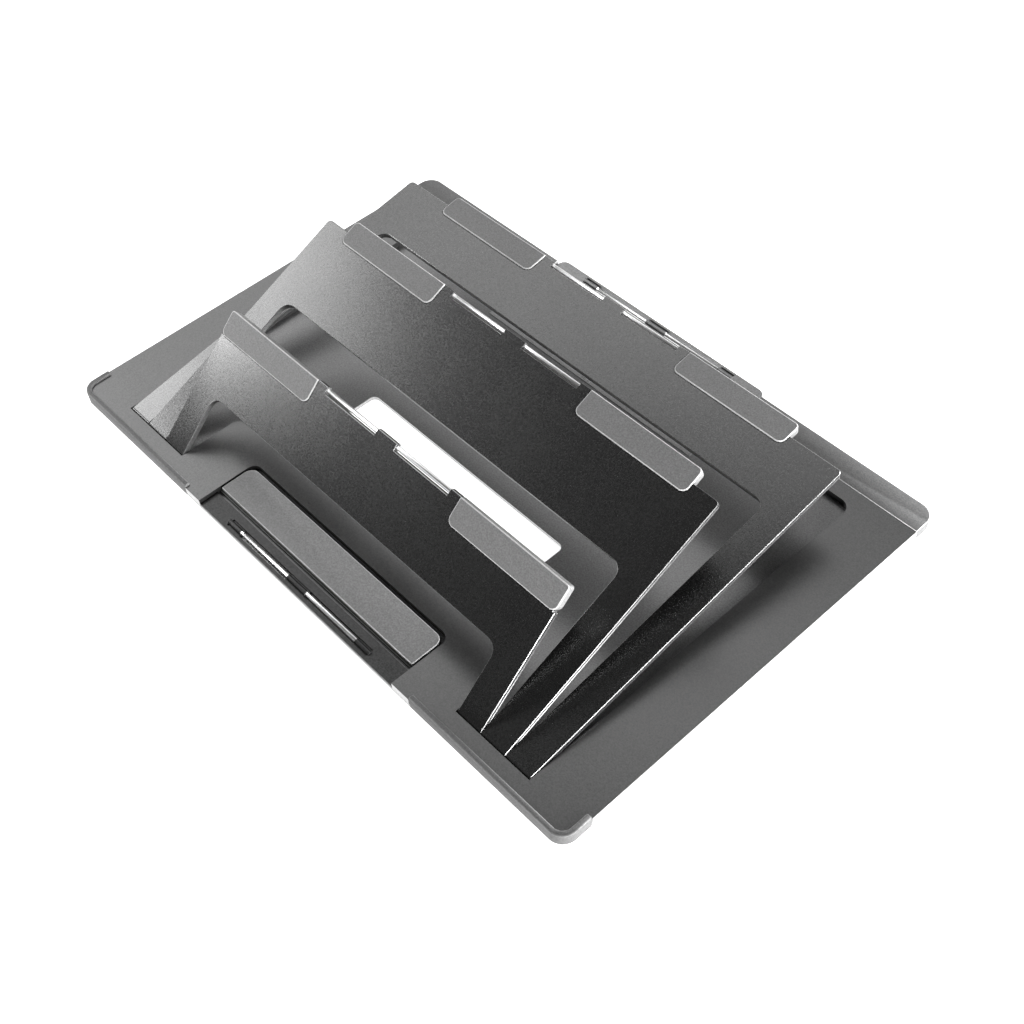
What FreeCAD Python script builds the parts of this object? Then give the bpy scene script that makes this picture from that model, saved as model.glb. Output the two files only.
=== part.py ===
import FreeCAD, Part
import os
import Sketcher

# Fold-flat laptop stand: a thin base plate with three U-shaped leaves nested in its window.
# All three leaves turn on one axis along the front of the window, and each carries two rubber
# pads and a steel catch pin at its free edge. +X right, +Y back, +Z up, origin in the centre
# of the underside. Millimetres and degrees.

DRIVING = {
    # base plate
    "plate_width": 330.0,
    "plate_depth": 220.0,
    "corner_radius": 7.3,
    "panel_thickness": 2.1,
    # window in the top frame, and the tongue that fills its front centre
    "side_margin": 28.0,
    "front_margin": 9.8,
    "back_margin": 21.8,
    "window_corner": 5.5,
    "tongue_reach": 30.6,
    "tongue_corner": 4.0,
    "tongue_gap": 0.8,
    # hand hole through the bottom panel
    "hole_half_width": 64.0,
    "hole_depth": 48.4,
    "hole_setback": 49.5,
    "hole_corner": 3.0,
    # leaves: each has two legs and a cross bar, and a finger's gap behind the next smaller one
    "leg_width": 13.65,
    "leaf_gap": 0.35,
    "leaf_thickness": 2.8,
    "hinge_gap": 0.3,
    "small_bar": 37.2,
    "medium_bar": 49.4,
    "small_finger_gap": 15.5,
    "medium_finger_gap": 13.8,
    "leaf_end_gap": 1.7,
    "small_tilt": 43.0,
    "medium_tilt": 23.6,
    "large_tilt": 10.1,
    "shoulder_step": 6.6,
    "leaf_corner": 2.2,
    "leaf_window_corner": 5.5,
    # rubber pads on the leaves
    "pad_length": 12.2,
    "pad_wrap": 1.0,
    "pad_rise": 0.6,
    "pad_drop": 0.35,
    "pad_clearance": 0.35,
    "pad_corner": 3.3,
    # catch pins, all alike: a middle knuckle, two open stretches and two end knuckles
    "catch_inner": 6.3,
    "catch_outer": 39.9,
    "catch_notch": 3.3,
    "catch_knuckle": 6.3,
    "catch_radius": 1.0,
    "catch_wall": 0.5,
    "catch_seat": 4.0,
    "pin_clearance": 0.03,
    # hinge pins and the friction sleeves round them
    "hinge_radius": 0.6,
    "hinge_seat": 6.0,
    "sleeve_wall": 0.27,
    # front notch with its catch plate, pad plate and grip pad
    "notch_half_width": 67.0,
    "notch_depth": 31.2,
    "fit_gap": 0.35,
    "front_plate_thickness": 1.5,
    "slot_margin": 8.6,
    "slot_half_depth": 2.0,
    "front_pin_setback": 3.6,
    "web_thickness": 0.9,
    "barrel_wall": 0.25,
    "pad_plate_gap": 1.1,
    "pad_plate_ledge": 0.8,
    "pad_side_gap": 1.1,
    "pad_back_gap": 2.3,
    "front_pad_corner": 4.5,
    # rear catch plate with its thin foot, and the rivets that hold the foot
    "tail_thickness": 2.1,
    "tail_reach": 3.7,
    "tail_corner": 4.0,
    "rear_pin_reach": 0.6,
    "foot_reach": 47.4,
    "foot_clearance": 0.05,
    "rivet_radius": 0.7,
    "rivet_pitch": 2.2,
    "rivet_setback": 1.4,
    # rubber on the plate: two strips at the back, two lips at the front corners
    "grip_width": 13.9,
    "grip_wrap": 1.0,
    "grip_cover": 1.0,
    "grip_rise": 0.15,
    "lip_setback": 10.5,
    "lip_width": 2.6,
    "lip_reach": 15.5,
    "lip_rise": 1.2,
    "lip_edge": 0.7,
}

DERIVED = {
    "half_width": "plate_width / 2",
    "front_face": "-plate_depth / 2",
    "back_face": "plate_depth / 2",
    "frame_thickness": "leaf_thickness + pad_drop + pad_clearance",
    "frame_top": "panel_thickness + frame_thickness",
    "window_half_width": "half_width - side_margin",
    "window_front": "front_face + front_margin",
    "window_back": "back_face - back_margin",
    "large_outer": "window_half_width - leaf_gap",
    "large_inner": "large_outer - leg_width",
    "medium_outer": "large_inner - leaf_gap",
    "medium_inner": "medium_outer - leg_width",
    "small_outer": "medium_inner - leaf_gap",
    "small_inner": "small_outer - leg_width",
    "tongue_half_width": "small_inner - leaf_gap",
    "half_thickness": "leaf_thickness / 2",
    "leaf_bottom": "-half_thickness",
    "hinge_depth": "window_front + hinge_gap + half_thickness",
    "hinge_height": "frame_top - half_thickness",
    "tongue_back": "hinge_depth + tongue_reach",
    "small_window": "tongue_reach + tongue_gap",
    "small_length": "small_window + small_bar",
    "medium_window": "small_length + small_finger_gap",
    "medium_length": "medium_window + medium_bar",
    "large_window": "medium_length + medium_finger_gap",
    "large_length": "window_back - leaf_end_gap - hinge_depth",
    "sleeve_inside": "hinge_radius + pin_clearance",
    "sleeve_radius": "sleeve_inside + sleeve_wall",
    "sleeve_bore": "sleeve_radius + pin_clearance",
    "catch_bore": "catch_radius + pin_clearance",
    "catch_reach": "catch_outer + catch_seat",
    "catch_span": "2 * catch_reach",
    "catch_setback": "catch_radius + catch_wall",
    "hinge_outer_end": "window_half_width + hinge_seat",
    "hinge_inner_end": "tongue_half_width - hinge_seat",
    "hinge_span": "hinge_outer_end - hinge_inner_end",
    "pad_inner": "catch_outer + catch_knuckle",
    "pad_outer": "small_outer",
    "pad_wrap_inner": "pad_outer - pad_wrap",
    "pad_bottom": "-half_thickness - pad_drop",
    "pad_height": "leaf_thickness + pad_rise + pad_drop",
    "hole_front": "front_face + hole_setback",
    "hole_back": "hole_front + hole_depth",
    "notch_back": "front_face + notch_depth",
    "plate_half_width": "notch_half_width - fit_gap",
    "front_plate_back": "window_front - fit_gap",
    "front_plate_top": "panel_thickness + front_plate_thickness",
    "front_pin_depth": "front_face + front_pin_setback",
    "front_slot_near": "front_pin_depth - slot_half_depth",
    "front_slot_far": "front_pin_depth + slot_half_depth",
    "slot_half_width": "catch_outer + slot_margin",
    "barrel_radius": "catch_radius + barrel_wall",
    "catch_pin_height": "panel_thickness + barrel_radius",
    "barrel_end": "slot_half_width + fit_gap",
    "end_barrel_length": "barrel_end - catch_outer",
    "middle_barrel_length": "2 * catch_inner",
    "pad_plate_front": "window_front + pad_plate_gap",
    "pad_plate_half_width": "notch_half_width - fit_gap",
    "pad_plate_back": "notch_back - fit_gap",
    "front_pad_front": "pad_plate_front + pad_plate_ledge",
    "front_pad_back": "notch_back - pad_back_gap",
    "front_pad_half_width": "notch_half_width - pad_side_gap",
    "front_pad_height": "frame_top - front_plate_top",
    "grip_front": "back_face - grip_width",
    "tail_front": "grip_front + fit_gap",
    "tail_back": "back_face + tail_reach",
    "rear_pin_depth": "back_face + rear_pin_reach",
    "rear_slot_near": "rear_pin_depth - slot_half_depth",
    "rear_slot_far": "rear_pin_depth + slot_half_depth",
    "foot_front": "back_face - foot_reach",
    "foot_thickness": "pad_clearance - foot_clearance",
    "foot_recess": "foot_thickness + foot_clearance",
    "rivet_depth": "foot_front + rivet_setback",
    "rivet_height": "panel_thickness + foot_thickness",
    "rivet_bore": "rivet_radius + pin_clearance",
    "metal_side": "half_width - grip_wrap",
    "metal_back": "back_face - grip_wrap",
    "metal_corner": "corner_radius - grip_wrap",
    "rebate_height": "frame_top - grip_cover",
    "grip_height": "frame_top + grip_rise",
    "lip_end": "notch_half_width + lip_setback",
    "lip_inner_side": "half_width - lip_width",
    "lip_inner_front": "front_face + lip_width",
    "lip_inner_corner": "corner_radius - lip_width",
    "lip_back": "front_face + lip_reach",
    "lip_height": "frame_top + lip_rise",
    "full_hinge": "2 * large_outer",
}

# The small leaf is as wide as its pads, so it has no shoulders.
LEAVES = ("small", "medium", "large")
for leaf in LEAVES:
    DERIVED[leaf + "_edge"] = leaf + "_length - pad_wrap"
    DERIVED[leaf + "_pad_start"] = leaf + "_length - pad_length"
    DERIVED[leaf + "_shoulder"] = leaf + "_length - shoulder_step"
    DERIVED[leaf + "_notch"] = leaf + "_length - catch_notch"
    DERIVED[leaf + "_pin"] = leaf + "_length - catch_setback"

SIDES = {"left": "-", "right": ""}
X_AXIS = FreeCAD.Vector(1, 0, 0)
Y_AXIS = FreeCAD.Vector(0, 1, 0)
MATCH = 0.001

doc = FreeCAD.newDocument("laptop_stand")
sheet = doc.addObject("Spreadsheet::Sheet", "Sizes")
subparts = []


def fill_sheet():
    rows = [(name, str(value)) for name, value in DRIVING.items()]
    rows += [(name, "=" + formula) for name, formula in DERIVED.items()]
    for row, (name, content) in enumerate(rows, start=1):
        sheet.set("A%d" % row, name)
        sheet.set("B%d" % row, content)
        sheet.setAlias("B%d" % row, name)
    doc.recompute()


def size(name):
    """Value of a cell; a leading minus turns the sign, and 0 is itself."""
    if name == "0":
        return 0.0
    if name.startswith("-"):
        return -size(name[1:])
    return float(sheet.get(name))


def cell(name):
    """The same name written as an expression."""
    if name == "0":
        return "0"
    if name.startswith("-"):
        return "-Sizes." + name[1:]
    return "Sizes." + name


def mirror(side, name):
    """Name of an X size on the left or the right side."""
    return SIDES[side] + name


def keep(item, label, placement=None):
    item.Label = label
    if placement is not None:
        item.Placement = placement
    subparts.append(item)
    return item


def leaf_placement(leaf):
    turn = FreeCAD.Rotation(X_AXIS, size(leaf + "_tilt"))
    return FreeCAD.Placement(FreeCAD.Vector(0, size("hinge_depth"), size("hinge_height")), turn)


def new_sketch(body, plane_role, offset, name):
    sketch = body.newObject("Sketcher::SketchObject", name)
    plane = [item for item in body.Origin.OriginFeatures if item.Role == plane_role][0]
    sketch.AttachmentSupport = [(plane, "")]
    sketch.MapMode = "FlatFace"
    sketch.setExpression(".AttachmentOffset.Base.z", cell(offset))
    return sketch


def place_point(sketch, geometry, vertex, x_size, y_size):
    for kind, name in (("DistanceX", x_size), ("DistanceY", y_size)):
        index = sketch.addConstraint(
            Sketcher.Constraint(kind, -1, 1, geometry, vertex, size(name)))
        sketch.setExpression("Constraints[%d]" % index, cell(name))


def polygon_sketch(body, offset, points, name):
    """Closed outline in the XY plane; each corner is a pair of size names."""
    sketch = new_sketch(body, "XY_Plane", offset, name)
    corners = [FreeCAD.Vector(size(x), size(y), 0) for x, y in points]
    count = len(points)
    for index in range(count):
        line = Part.LineSegment(corners[index], corners[(index + 1) % count])
        sketch.addGeometry(line, False)
    for index in range(count):
        following = (index + 1) % count
        sketch.addConstraint(Sketcher.Constraint("Coincident", index, 2, following, 1))
    for index, (x_size, y_size) in enumerate(points):
        place_point(sketch, index, 1, x_size, y_size)
    return sketch


def circle_sketch(body, plane_role, offset, x_size, y_size, radius, name):
    sketch = new_sketch(body, plane_role, offset, name)
    centre = FreeCAD.Vector(size(x_size), size(y_size), 0)
    sketch.addGeometry(Part.Circle(centre, FreeCAD.Vector(0, 0, 1), size(radius)), False)
    place_point(sketch, 0, 3, x_size, y_size)
    index = sketch.addConstraint(Sketcher.Constraint("Radius", 0, size(radius)))
    sketch.setExpression("Constraints[%d]" % index, cell(radius))
    return sketch


def pad(body, sketch, length, name):
    feature = body.newObject("PartDesign::Pad", name)
    feature.Profile = sketch
    feature.setExpression("Length", cell(length))
    doc.recompute()
    return feature


def pocket(body, sketch, length, name):
    """Cuts in the direction of the sketch's normal and insists that something is cut."""
    before = body.Shape.Volume
    feature = body.newObject("PartDesign::Pocket", name)
    feature.Profile = sketch
    feature.Reversed = True
    feature.setExpression("Length", cell(length))
    doc.recompute()
    if body.Shape.Volume > before - MATCH:
        raise RuntimeError(name + " cuts nothing")
    return feature


def block(body, bottom, height, points, name):
    return pad(body, polygon_sketch(body, bottom, points, name + "_outline"), height, name)


def cut(body, bottom, height, points, name):
    return pocket(body, polygon_sketch(body, bottom, points, name + "_outline"), height, name)


def rectangle(left, right, front, back):
    return [(left, front), (right, front), (right, back), (left, back)]


def bore(body, start, depth, height, radius, length, name):
    """Hole along +X from start, at a depth (Y) and a height (Z)."""
    sketch = circle_sketch(body, "YZ_Plane", start, depth, height, radius, name + "_circle")
    return pocket(body, sketch, length, name)


def round_corners(body, radius, places, name):
    """Fillet on the upright edges that stand at the given pairs of size names."""
    wanted = [(size(x), size(y)) for x, y in places]
    edges = []
    base = body.Tip
    for number, edge in enumerate(base.Shape.Edges, start=1):
        first, last = edge.Vertexes[0].Point, edge.Vertexes[-1].Point
        if abs(first.x - last.x) > MATCH or abs(first.y - last.y) > MATCH:
            continue
        if any(abs(first.x - x) < MATCH and abs(first.y - y) < MATCH for x, y in wanted):
            edges.append("Edge%d" % number)
    if len(edges) < len(places):
        raise RuntimeError(name + " finds too few edges")
    feature = body.newObject("PartDesign::Fillet", name)
    feature.Base = (base, edges)
    feature.setExpression("Radius", cell(radius))
    doc.recompute()
    return feature


def new_body(label):
    return doc.addObject("PartDesign::Body", label + "_body")


def rod(label, start, depth, height, radius, length, placement=None):
    """Cylinder along +X; the placement carries it with a leaf."""
    item = doc.addObject("Part::Cylinder", label)
    item.setExpression("Radius", cell(radius))
    item.setExpression("Height", cell(length))
    seat = FreeCAD.Placement(
        FreeCAD.Vector(size(start), size(depth), size(height)), FreeCAD.Rotation(Y_AXIS, 90))
    item.Placement = seat if placement is None else placement.multiply(seat)
    return item


def both_sides(points_of):
    """Right-hand outline points followed by the same ones mirrored, in reverse order."""
    mirrored = [("-" + x, y) for x, y in reversed(points_of)]
    return points_of + mirrored


def plate_outline():
    """Metal edge of the plate, set back where the lips and the rear strips wrap round it."""
    right = [
        ("lip_end", "front_face"),
        ("lip_end", "lip_inner_front"),
        ("lip_inner_side", "lip_inner_front"),
        ("lip_inner_side", "lip_back"),
        ("half_width", "lip_back"),
        ("half_width", "grip_front"),
        ("metal_side", "grip_front"),
        ("metal_side", "metal_back"),
    ]
    return both_sides(right)


def round_plate(body, name):
    for side in SIDES:
        front = [(mirror(side, "lip_inner_side"), "lip_inner_front")]
        back = [(mirror(side, "metal_side"), "metal_back")]
        round_corners(body, "lip_inner_corner", front, "%s_front_%s" % (name, side))
        round_corners(body, "metal_corner", back, "%s_back_%s" % (name, side))


def top_frame():
    body = new_body("top_frame")
    block(body, "panel_thickness", "frame_thickness", plate_outline(), "frame_plate")
    round_plate(body, "frame_corner")
    right = [
        ("tongue_half_width", "tongue_back"),
        ("tongue_half_width", "window_front"),
        ("window_half_width", "window_front"),
        ("window_half_width", "window_back"),
    ]
    cut(body, "panel_thickness", "frame_thickness", both_sides(right), "frame_window")
    back = [(x + "window_half_width", "window_back") for x in SIDES.values()]
    round_corners(body, "window_corner", back, "window_corners")
    tongue = [(x + "tongue_half_width", "tongue_back") for x in SIDES.values()]
    round_corners(body, "tongue_corner", tongue, "tongue_corners")
    notch = rectangle("-notch_half_width", "notch_half_width", "front_face", "notch_back")
    cut(body, "panel_thickness", "frame_thickness", notch, "front_notch")
    deep = [(x + "notch_half_width", "notch_back") for x in SIDES.values()]
    round_corners(body, "front_pad_corner", deep, "notch_corners")
    rear = rectangle("-notch_half_width", "notch_half_width", "grip_front", "metal_back")
    cut(body, "panel_thickness", "frame_thickness", rear, "rear_notch")
    foot = rectangle("-notch_half_width", "notch_half_width", "window_back", "grip_front")
    cut(body, "panel_thickness", "foot_recess", foot, "foot_recess")
    rebate = rectangle("-half_width", "half_width", "grip_front", "metal_back")
    cut(body, "rebate_height", "grip_cover", rebate, "grip_rebate")
    for side, start in (("left", "-hinge_outer_end"), ("right", "hinge_inner_end")):
        bore(body, start, "hinge_depth", "hinge_height", "sleeve_inside", "hinge_span",
             "hinge_bore_" + side)
    return keep(body, "top_frame")


def bottom_panel():
    body = new_body("bottom_panel")
    block(body, "0", "panel_thickness", plate_outline(), "panel_plate")
    round_plate(body, "panel_corner")
    hole = rectangle("-hole_half_width", "hole_half_width", "hole_front", "hole_back")
    cut(body, "0", "panel_thickness", hole, "hand_hole")
    round_corners(body, "hole_corner", hole, "hand_hole_corners")
    rivet_holes(body)
    return keep(body, "bottom_panel")


def rivet_holes(body):
    for name, place in (("left", "-rivet_pitch"), ("middle", "0"), ("right", "rivet_pitch")):
        sketch = circle_sketch(
            body, "XY_Plane", "0", place, "rivet_depth", "rivet_bore", "rivet_%s_circle" % name)
        pocket(body, sketch, "rivet_height", "rivet_hole_" + name)


def front_lip(side):
    body = new_body("front_lip_" + side)
    outline = [
        ("lip_end", "front_face"),
        ("half_width", "front_face"),
        ("half_width", "lip_back"),
        ("lip_inner_side", "lip_back"),
        ("lip_inner_side", "lip_inner_front"),
        ("lip_end", "lip_inner_front"),
    ]
    outline = [(mirror(side, x), y) for x, y in outline]
    block(body, "0", "lip_height", outline, "lip_%s" % side)
    round_corners(body, "corner_radius", [outline[1]], "lip_outer_%s" % side)
    round_corners(body, "lip_inner_corner", [outline[4]], "lip_inner_%s" % side)
    round_corners(body, "lip_edge", [outline[0], outline[2]], "lip_ends_%s" % side)
    return keep(body, "front_lip_" + side)


def rear_grip(side):
    body = new_body("rear_grip_" + side)
    outer = rectangle(
        mirror(side, "notch_half_width"), mirror(side, "half_width"), "grip_front", "back_face")
    block(body, "0", "grip_height", outer, "grip_%s" % side)
    inner = rectangle(
        mirror(side, "notch_half_width"), mirror(side, "metal_side"), "grip_front", "metal_back")
    cut(body, "0", "rebate_height", inner, "grip_seat_%s" % side)
    round_corners(body, "metal_corner", [inner[2]], "grip_seat_corner_%s" % side)
    round_corners(body, "corner_radius", [outer[2]], "grip_corner_%s" % side)
    return keep(body, "rear_grip_" + side)


def catch_knuckles(body, near, far, depth, name):
    """Low webs across the slot with a barrel on each, bored for the pin."""
    spans = (
        ("left", "-barrel_end", "-catch_outer", "end_barrel_length"),
        ("middle", "-catch_inner", "catch_inner", "middle_barrel_length"),
        ("right", "catch_outer", "barrel_end", "end_barrel_length"),
    )
    for place, start, end, length in spans:
        label = "%s_%s" % (name, place)
        web = rectangle(start, end, near, far)
        block(body, "panel_thickness", "web_thickness", web, label + "_web")
        sketch = circle_sketch(
            body, "YZ_Plane", start, depth, "catch_pin_height", "barrel_radius", label + "_ring")
        pad(body, sketch, length, label + "_barrel")
    bore(body, "-catch_reach", depth, "catch_pin_height", "catch_bore", "catch_span",
         name + "_bore")


def front_catch_plate():
    body = new_body("front_catch_plate")
    plate = rectangle("-plate_half_width", "plate_half_width", "front_face", "front_plate_back")
    block(body, "panel_thickness", "front_plate_thickness", plate, "front_plate")
    slot = rectangle("-slot_half_width", "slot_half_width", "front_slot_near", "front_slot_far")
    cut(body, "panel_thickness", "front_plate_thickness", slot, "front_slot")
    catch_knuckles(body, "front_slot_near", "front_slot_far", "front_pin_depth", "front_knuckle")
    return keep(body, "front_catch_plate")


def rear_catch_plate():
    body = new_body("rear_catch_plate")
    tail = rectangle("-plate_half_width", "plate_half_width", "tail_front", "tail_back")
    block(body, "panel_thickness", "tail_thickness", tail, "rear_tail")
    round_corners(body, "tail_corner", tail[2:], "rear_tail_corners")
    foot = rectangle("-plate_half_width", "plate_half_width", "foot_front", "tail_front")
    block(body, "panel_thickness", "foot_thickness", foot, "rear_foot")
    slot = rectangle("-slot_half_width", "slot_half_width", "rear_slot_near", "rear_slot_far")
    cut(body, "panel_thickness", "tail_thickness", slot, "rear_slot")
    catch_knuckles(body, "rear_slot_near", "rear_slot_far", "rear_pin_depth", "rear_knuckle")
    rivet_holes(body)
    return keep(body, "rear_catch_plate")


def front_pad_plate():
    body = new_body("front_pad_plate")
    outline = rectangle(
        "-pad_plate_half_width", "pad_plate_half_width", "pad_plate_front", "pad_plate_back")
    block(body, "panel_thickness", "front_plate_thickness", outline, "pad_plate")
    round_corners(body, "front_pad_corner", outline[2:], "pad_plate_corners")
    return keep(body, "front_pad_plate")


def front_grip_pad():
    body = new_body("front_grip_pad")
    outline = rectangle(
        "-front_pad_half_width", "front_pad_half_width", "front_pad_front", "front_pad_back")
    block(body, "front_plate_top", "front_pad_height", outline, "grip_pad")
    round_corners(body, "front_pad_corner", outline[2:], "grip_pad_corners")
    return keep(body, "front_grip_pad")


def rear_plate_rivets():
    rivets = []
    for place in ("-rivet_pitch", "0", "rivet_pitch"):
        rivet = doc.addObject("Part::Cylinder", "rivet")
        rivet.setExpression("Radius", cell("rivet_radius"))
        rivet.setExpression("Height", cell("rivet_height"))
        rivet.Placement.Base = FreeCAD.Vector(size(place), size("rivet_depth"), 0)
        rivets.append(rivet)
    group = doc.addObject("Part::Compound", "rivet_group")
    group.Links = rivets
    return keep(group, "rear_plate_rivets")


def leaf_outline(leaf):
    right = [
        (leaf + "_inner", leaf + "_window"),
        (leaf + "_inner", "0"),
        (leaf + "_outer", "0"),
    ]
    if leaf == "small":
        right += [(leaf + "_outer", leaf + "_length")]
    else:
        right += [
            (leaf + "_outer", leaf + "_shoulder"),
            ("pad_outer", leaf + "_shoulder"),
            ("pad_outer", leaf + "_length"),
        ]
    return both_sides(right)


def wrap_start(leaf):
    """Where the pad starts to wrap round the side of the sheet."""
    return leaf + ("_pad_start" if leaf == "small" else "_shoulder")


def leaf_sheet(leaf):
    body = new_body("leaf_" + leaf)
    outline = leaf_outline(leaf)
    block(body, "leaf_bottom", "leaf_thickness", outline, leaf + "_sheet")
    inner = [(x + leaf + "_inner", leaf + "_window") for x in SIDES.values()]
    round_corners(body, "leaf_window_corner", inner, leaf + "_window_corners")
    if leaf != "small":
        outer = [(x + leaf + "_outer", leaf + "_shoulder") for x in SIDES.values()]
        round_corners(body, "leaf_corner", outer, leaf + "_shoulder_corners")
    for side, start in (("left", "-%s_outer" % leaf), ("right", "%s_inner" % leaf)):
        sketch = circle_sketch(
            body, "YZ_Plane", start, "0", "0", "half_thickness", "%s_%s_ring" % (leaf, side))
        pad(body, sketch, "leg_width", "%s_%s_knuckle" % (leaf, side))
    bore(body, "-large_outer", "0", "0", "sleeve_bore", "full_hinge", leaf + "_hinge_bore")
    for side in SIDES:
        notch = rectangle(
            mirror(side, "catch_inner"), mirror(side, "catch_outer"),
            leaf + "_notch", leaf + "_length")
        cut(body, "leaf_bottom", "leaf_thickness", notch, "%s_notch_%s" % (leaf, side))
        seat = [
            ("pad_inner", leaf + "_edge"),
            ("pad_wrap_inner", leaf + "_edge"),
            ("pad_wrap_inner", wrap_start(leaf)),
            ("pad_outer", wrap_start(leaf)),
            ("pad_outer", leaf + "_length"),
            ("pad_inner", leaf + "_length"),
        ]
        seat = [(mirror(side, x), y) for x, y in seat]
        cut(body, "leaf_bottom", "leaf_thickness", seat, "%s_pad_seat_%s" % (leaf, side))
    bore(body, "-catch_reach", leaf + "_pin", "0", "catch_bore", "catch_span",
         leaf + "_catch_bore")
    return keep(body, "leaf_" + leaf, leaf_placement(leaf))


def leaf_pad(leaf, side):
    body = new_body("leaf_%s_pad_%s" % (leaf, side))
    outer = rectangle(
        mirror(side, "pad_inner"), mirror(side, "pad_outer"),
        leaf + "_pad_start", leaf + "_length")
    name = "%s_pad_%s" % (leaf, side)
    block(body, "pad_bottom", "pad_height", outer, name)
    round_corners(body, "pad_corner", outer[:2], name + "_corners")
    round_corners(body, "leaf_corner", outer[2:3], name + "_outer_corner")
    slot = [("pad_inner", leaf + "_edge"), ("pad_inner", leaf + "_pad_start")]
    if leaf == "small":
        slot += [("pad_wrap_inner", leaf + "_pad_start")]
    else:
        slot += [
            ("pad_outer", leaf + "_pad_start"),
            ("pad_outer", leaf + "_shoulder"),
            ("pad_wrap_inner", leaf + "_shoulder"),
        ]
    slot += [("pad_wrap_inner", leaf + "_edge")]
    slot = [(mirror(side, x), y) for x, y in slot]
    cut(body, "leaf_bottom", "leaf_thickness", slot, name + "_slot")
    return keep(body, "leaf_" + name, leaf_placement(leaf))


def leaf_hardware(leaf):
    """Catch pin at the free edge, and a friction sleeve in each leg."""
    pin = rod("leaf_%s_pin" % leaf, "-catch_reach", leaf + "_pin", "0", "catch_radius",
              "catch_span", leaf_placement(leaf))
    keep(pin, "leaf_%s_catch_pin" % leaf)
    for side, start in (("left", "-%s_outer" % leaf), ("right", "%s_inner" % leaf)):
        name = "leaf_%s_sleeve_%s" % (leaf, side)
        sleeve = doc.addObject("Part::Cut", name + "_cut")
        sleeve.Base = rod(
            name + "_body", start, "0", "0", "sleeve_radius", "leg_width", leaf_placement(leaf))
        sleeve.Tool = rod(
            name + "_hole", start, "0", "0", "sleeve_inside", "leg_width", leaf_placement(leaf))
        keep(sleeve, name)


def base_pins():
    for side, start in (("left", "-hinge_outer_end"), ("right", "hinge_inner_end")):
        keep(rod("hinge_rod_" + side, start, "hinge_depth", "hinge_height", "hinge_radius",
                 "hinge_span"), "hinge_pin_" + side)
    for place in ("front", "rear"):
        keep(rod(place + "_rod", "-catch_reach", place + "_pin_depth", "catch_pin_height",
                 "catch_radius", "catch_span"), place + "_catch_pin")


def check_and_export():
    doc.recompute()
    for item in doc.Objects:
        if "Invalid" in item.State or "Error" in item.State:
            raise RuntimeError(item.Label + " did not compute")
    os.makedirs("parts", exist_ok=True)
    for item in subparts:
        if item.Shape.isNull() or not item.Shape.isValid():
            raise RuntimeError(item.Label + " has no valid shape")
        item.Shape.exportStep("parts/%s.step" % item.Label)


fill_sheet()
bottom_panel()
top_frame()
for edge_side in SIDES:
    front_lip(edge_side)
    rear_grip(edge_side)
front_catch_plate()
rear_catch_plate()
front_pad_plate()
front_grip_pad()
rear_plate_rivets()
base_pins()
for leaf_name in LEAVES:
    leaf_sheet(leaf_name)
    for leaf_side in SIDES:
        leaf_pad(leaf_name, leaf_side)
    leaf_hardware(leaf_name)
check_and_export()
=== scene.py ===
import math

import bpy
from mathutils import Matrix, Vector


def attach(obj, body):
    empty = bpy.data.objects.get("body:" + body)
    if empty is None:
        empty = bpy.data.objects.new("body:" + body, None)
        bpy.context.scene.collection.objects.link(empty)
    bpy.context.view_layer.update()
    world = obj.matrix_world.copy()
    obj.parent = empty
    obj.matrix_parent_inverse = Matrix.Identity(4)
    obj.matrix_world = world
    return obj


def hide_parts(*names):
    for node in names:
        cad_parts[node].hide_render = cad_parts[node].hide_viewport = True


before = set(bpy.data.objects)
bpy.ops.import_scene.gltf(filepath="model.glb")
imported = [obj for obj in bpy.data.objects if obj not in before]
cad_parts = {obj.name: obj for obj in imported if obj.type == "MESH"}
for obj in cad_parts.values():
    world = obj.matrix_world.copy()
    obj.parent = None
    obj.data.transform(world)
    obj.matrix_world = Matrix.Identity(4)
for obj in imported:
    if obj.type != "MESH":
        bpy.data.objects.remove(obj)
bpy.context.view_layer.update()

MM = 0.001

# ---------------------------------------------------------------------------------------
# Studio: a camera over the right front corner, a white table, two soft boxes at the left
# that fade across the leaves, a broad one overhead, and long low ones at the right and
# the back that pick out the cut edges.
# ---------------------------------------------------------------------------------------
lens = bpy.data.cameras.new("camera")
lens.lens = 51.92
lens.sensor_width = 36.0
lens.clip_start = 0.01
camera = bpy.data.objects.new("camera", lens)
camera.location = (0.353179, -0.270271, 0.498696)
camera.rotation_euler = [math.radians(a) for a in (39.352645, 3.189765, 47.432127)]
bpy.context.scene.collection.objects.link(camera)
bpy.context.scene.camera = camera
bpy.context.scene.view_settings.view_transform = "Standard"

bpy.ops.object.select_all(action="DESELECT")
bpy.ops.mesh.primitive_plane_add(size=6.0, location=(0.0, 0.0, -0.0001))
floor = bpy.context.object
floor.name = "table_top"
floor_paint = bpy.data.materials.new("table_white")
floor_paint.use_nodes = True
floor_shader = floor_paint.node_tree.nodes["Principled BSDF"]
floor_shader.inputs["Base Color"].default_value = (0.93, 0.93, 0.93, 1)
floor_shader.inputs["Roughness"].default_value = 0.8
floor_shader.inputs["Emission Color"].default_value = (1, 1, 1, 1)
floor_shader.inputs["Emission Strength"].default_value = 0.85
floor.data.materials.append(floor_paint)

world = bpy.data.worlds.new("studio")
world.use_nodes = True
world.node_tree.nodes["Background"].inputs["Color"].default_value = (1, 1, 1, 1)
world.node_tree.nodes["Background"].inputs["Strength"].default_value = 0.10
bpy.context.scene.world = world


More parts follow.
